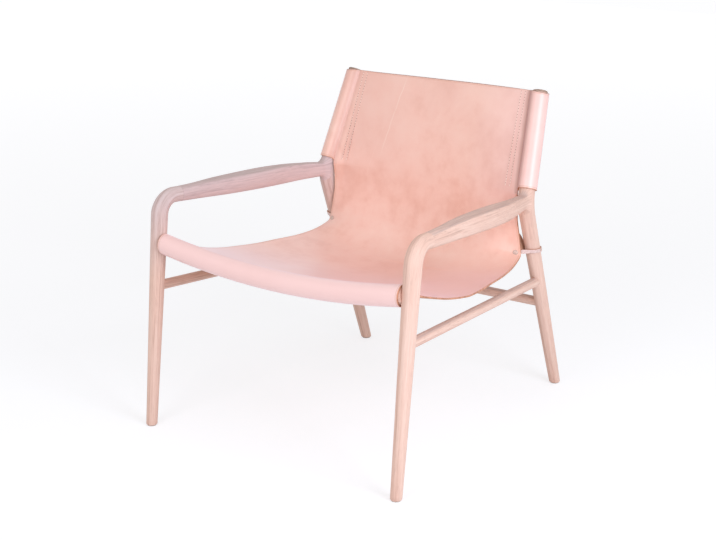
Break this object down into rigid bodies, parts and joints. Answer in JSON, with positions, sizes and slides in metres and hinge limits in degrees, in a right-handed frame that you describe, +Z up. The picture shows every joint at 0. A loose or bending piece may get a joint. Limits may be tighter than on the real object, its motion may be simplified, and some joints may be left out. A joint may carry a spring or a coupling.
{
  "type": "leather sling lounge chair",
  "caption": "Low lounge chair with a turned and shaped wooden frame; one folded leather sheet hangs between the front rail and the rear posts as seat and back.",
  "frame": {"origin": "on the floor under the middle of the chair's box, which is the middle of its width and depth", "axes": "+X towards the right of the picture when the chair is seen from the front, +Y from the seat's front towards its back, +Z up; the chair faces -Y"},
  "size_m": [0.6962, 0.7796, 0.7204],
  "materials": {
    "oak": "pale oak, soaped or matt oiled, open straight grain",
    "leather": "natural undyed saddle leather, satin, with burnished edges",
    "steel": "satin",
    "felt": "pressed felt"
  },
  "bodies": {
    "root": {"leg_front_left": "oak", "leg_front_right": "oak", "leg_rear_left": "oak", "leg_rear_right": "oak", "arm_left": "oak", "arm_right": "oak", "arm_front_dowel_left": "oak", "arm_front_dowel_right": "oak", "arm_rear_dowel_left": "oak", "arm_rear_dowel_right": "oak", "stretcher_left": "oak", "stretcher_right": "oak", "corner_strap_left": "leather", "corner_strap_right": "leather", "stud_front_left": "steel", "stud_front_right": "steel", "stud_back_left": "steel", "stud_back_right": "steel", "strap_screw_left": "steel", "strap_screw_right": "steel", "glide_front_left": "felt", "glide_front_right": "felt", "glide_rear_left": "felt", "glide_rear_right": "felt", "rail_front": "oak", "stretcher_rear": "oak", "sling_leather": "leather"}
  },
  "joints": []
}
